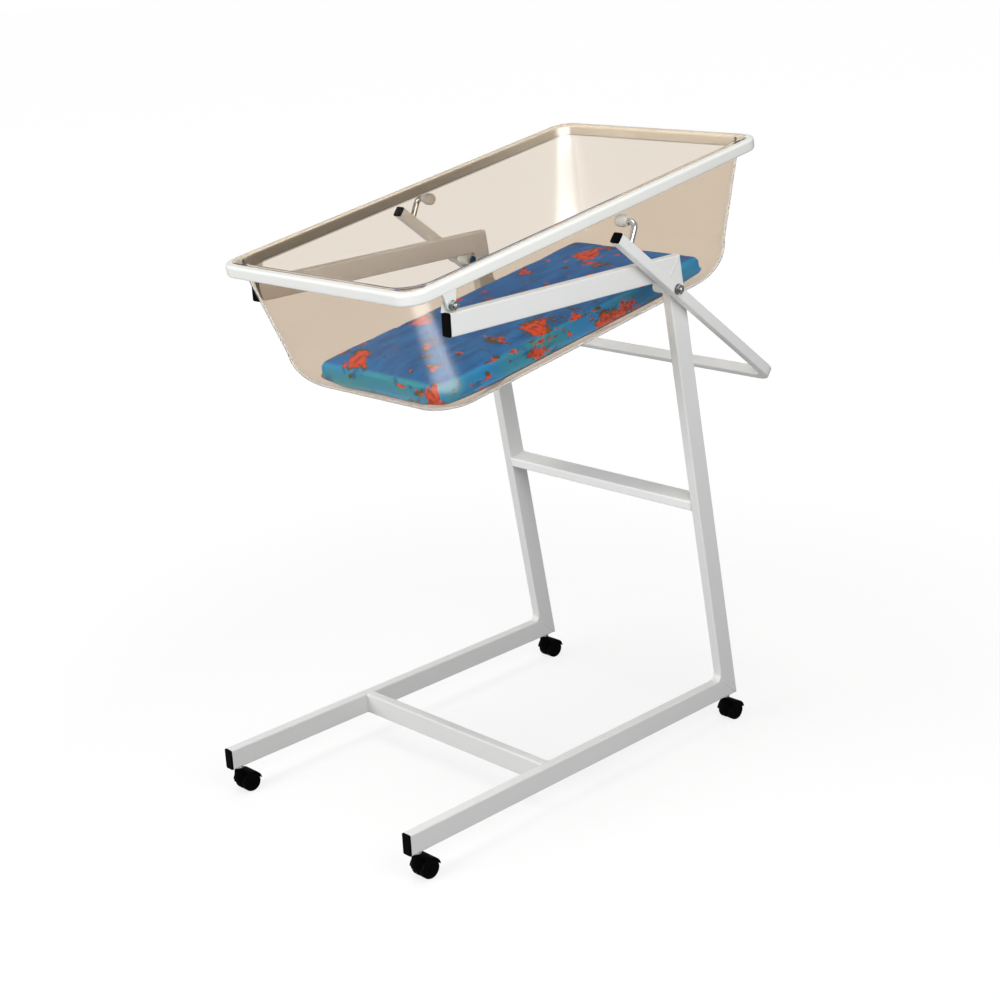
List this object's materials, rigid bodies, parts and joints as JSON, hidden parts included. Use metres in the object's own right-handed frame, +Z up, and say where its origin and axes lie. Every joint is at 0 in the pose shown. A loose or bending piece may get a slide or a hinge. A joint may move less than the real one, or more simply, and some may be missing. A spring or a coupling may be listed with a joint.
{
  "type": "hospital bassinet",
  "caption": "Hospital bassinet: tinted clear tub in a white rim, hinged at the front of a cantilever tube frame on castors and raised at the rear by a lever with rollers.",
  "frame": {"origin": "on the floor, under the middle of the bounding box", "axes": "+X across to the right, +Y along to the rear where the uprights stand, +Z up"},
  "size_m": [0.6076, 0.9764, 1.1415],
  "materials": {
    "white_paint": "white powder coat, semi-gloss",
    "rim_paint": "white powder coat, glossy",
    "tinted_acrylic": "clear, faintly warm-tinted acrylic",
    "mattress_cover": "printed woven cover",
    "black_plastic": "black, satin",
    "castor_tread": "black, satin",
    "nylon": "off-white, satin",
    "bright_metal": "bright zinc or chrome plate",
    "castor_steel": "zinc plate",
    "rod_steel": "bright steel"
  },
  "bodies": {
    "frame": {"floor_cross_rail": "white_paint", "front_left_castor_stem": "castor_steel", "front_right_castor_stem": "castor_steel", "left_floor_rail": "white_paint", "left_floor_rail_cap": "black_plastic", "left_hinge_bolt": "bright_metal", "left_hinge_nut": "bright_metal", "left_lever_bolt": "bright_metal", "left_lever_bush": "white_paint", "left_lever_nut": "bright_metal", "left_rail_hinge_lug": "white_paint", "left_top_rail": "white_paint", "left_top_rail_cap": "black_plastic", "left_upright": "white_paint", "rear_left_castor_stem": "castor_steel", "rear_right_castor_stem": "castor_steel", "right_floor_rail": "white_paint", "right_floor_rail_cap": "black_plastic", "right_hinge_bolt": "bright_metal", "right_hinge_nut": "bright_metal", "right_lever_bolt": "bright_metal", "right_lever_bush": "white_paint", "right_lever_nut": "bright_metal", "right_rail_hinge_lug": "white_paint", "right_top_rail": "white_paint", "right_top_rail_cap": "black_plastic", "right_upright": "white_paint", "upright_cross_rail": "white_paint"},
    "tub": {"left_rim_hinge_lug": "white_paint", "mattress": "mattress_cover", "right_rim_hinge_lug": "white_paint", "rim_frame": "rim_paint", "tub_shell": "tinted_acrylic"},
    "lever": {"left_lever_cap": "black_plastic", "left_roller_rod": "rod_steel", "right_lever_cap": "black_plastic", "right_roller_rod": "rod_steel", "tilt_lever": "white_paint"},
    "left_roller": {"left_roller": "nylon"},
    "right_roller": {"right_roller": "nylon"},
    "front_left_castor": {"front_left_castor_housing": "black_plastic", "front_left_castor_axle": "castor_steel"},
    "front_left_castor_left_wheel": {"front_left_castor_left_wheel": "castor_tread"},
    "front_left_castor_right_wheel": {"front_left_castor_right_wheel": "castor_tread"},
    "front_right_castor": {"front_right_castor_housing": "black_plastic", "front_right_castor_axle": "castor_steel"},
    "front_right_castor_left_wheel": {"front_right_castor_left_wheel": "castor_tread"},
    "front_right_castor_right_wheel": {"front_right_castor_right_wheel": "castor_tread"},
    "rear_left_castor": {"rear_left_castor_housing": "black_plastic", "rear_left_castor_axle": "castor_steel"},
    "rear_left_castor_left_wheel": {"rear_left_castor_left_wheel": "castor_tread"},
    "rear_left_castor_right_wheel": {"rear_left_castor_right_wheel": "castor_tread"},
    "rear_right_castor": {"rear_right_castor_housing": "black_plastic", "rear_right_castor_axle": "castor_steel"},
    "rear_right_castor_left_wheel": {"rear_right_castor_left_wheel": "castor_tread"},
    "rear_right_castor_right_wheel": {"rear_right_castor_right_wheel": "castor_tread"}
  },
  "joints": [
    {"name": "tub_tilt", "type": "hinge", "parent": "frame", "child": "tub", "pos_m": [0, -0.3123, 0.9695], "axis": [1, 0, 0], "range_deg": [-9.2, 0]},
    {"name": "lever_turn", "type": "hinge", "parent": "frame", "child": "lever", "pos_m": [0, 0.19589, 0.9072], "axis": [1, 0, 0], "range_deg": [0, 32.1]},
    {"name": "left_roller_spin", "type": "hinge", "parent": "lever", "child": "left_roller", "pos_m": [-0.2525, 0.10189, 1.03993], "axis": [1, 0, 0], "continuous": true},
    {"name": "right_roller_spin", "type": "hinge", "parent": "lever", "child": "right_roller", "pos_m": [0.2525, 0.10189, 1.03993], "axis": [1, 0, 0], "continuous": true},
    {"name": "front_left_castor_swivel", "type": "hinge", "parent": "frame", "child": "front_left_castor", "pos_m": [-0.252, -0.46619, 0.0517], "axis": [0, 0, 1], "continuous": true},
    {"name": "front_left_castor_left_wheel_spin", "type": "hinge", "parent": "front_left_castor", "child": "front_left_castor_left_wheel", "pos_m": [-0.26235, -0.44919, 0.0185], "axis": [1, 0, 0], "continuous": true},
    {"name": "front_left_castor_right_wheel_spin", "type": "hinge", "parent": "front_left_castor", "child": "front_left_castor_right_wheel", "pos_m": [-0.24165, -0.44919, 0.0185], "axis": [1, 0, 0], "continuous": true},
    {"name": "front_right_castor_swivel", "type": "hinge", "parent": "frame", "child": "front_right_castor", "pos_m": [0.252, -0.46619, 0.0517], "axis": [0, 0, 1], "continuous": true},
    {"name": "front_right_castor_left_wheel_spin", "type": "hinge", "parent": "front_right_castor", "child": "front_right_castor_left_wheel", "pos_m": [0.24165, -0.44919, 0.0185], "axis": [1, 0, 0], "continuous": true},
    {"name": "front_right_castor_right_wheel_spin", "type": "hinge", "parent": "front_right_castor", "child": "front_right_castor_right_wheel", "pos_m": [0.26235, -0.44919, 0.0185], "axis": [1, 0, 0], "continuous": true},
    {"name": "rear_left_castor_swivel", "type": "hinge", "parent": "frame", "child": "rear_left_castor", "pos_m": [-0.252, 0.35681, 0.0517], "axis": [0, 0, 1], "continuous": true},
    {"name": "rear_left_castor_left_wheel_spin", "type": "hinge", "parent": "rear_left_castor", "child": "rear_left_castor_left_wheel", "pos_m": [-0.26235, 0.37381, 0.0185], "axis": [1, 0, 0], "continuous": true},
    {"name": "rear_left_castor_right_wheel_spin", "type": "hinge", "parent": "rear_left_castor", "child": "rear_left_castor_right_wheel", "pos_m": [-0.24165, 0.37381, 0.0185], "axis": [1, 0, 0], "continuous": true},
    {"name": "rear_right_castor_swivel", "type": "hinge", "parent": "frame", "child": "rear_right_castor", "pos_m": [0.252, 0.35681, 0.0517], "axis": [0, 0, 1], "continuous": true},
    {"name": "rear_right_castor_left_wheel_spin", "type": "hinge", "parent": "rear_right_castor", "child": "rear_right_castor_left_wheel", "pos_m": [0.24165, 0.37381, 0.0185], "axis": [1, 0, 0], "continuous": true},
    {"name": "rear_right_castor_right_wheel_spin", "type": "hinge", "parent": "rear_right_castor", "child": "rear_right_castor_right_wheel", "pos_m": [0.26235, 0.37381, 0.0185], "axis": [1, 0, 0], "continuous": true}
  ],
  "couplings": [
    {"joint": "lever_turn", "follows": "tub_tilt", "ratio": -3.48}
  ]
}
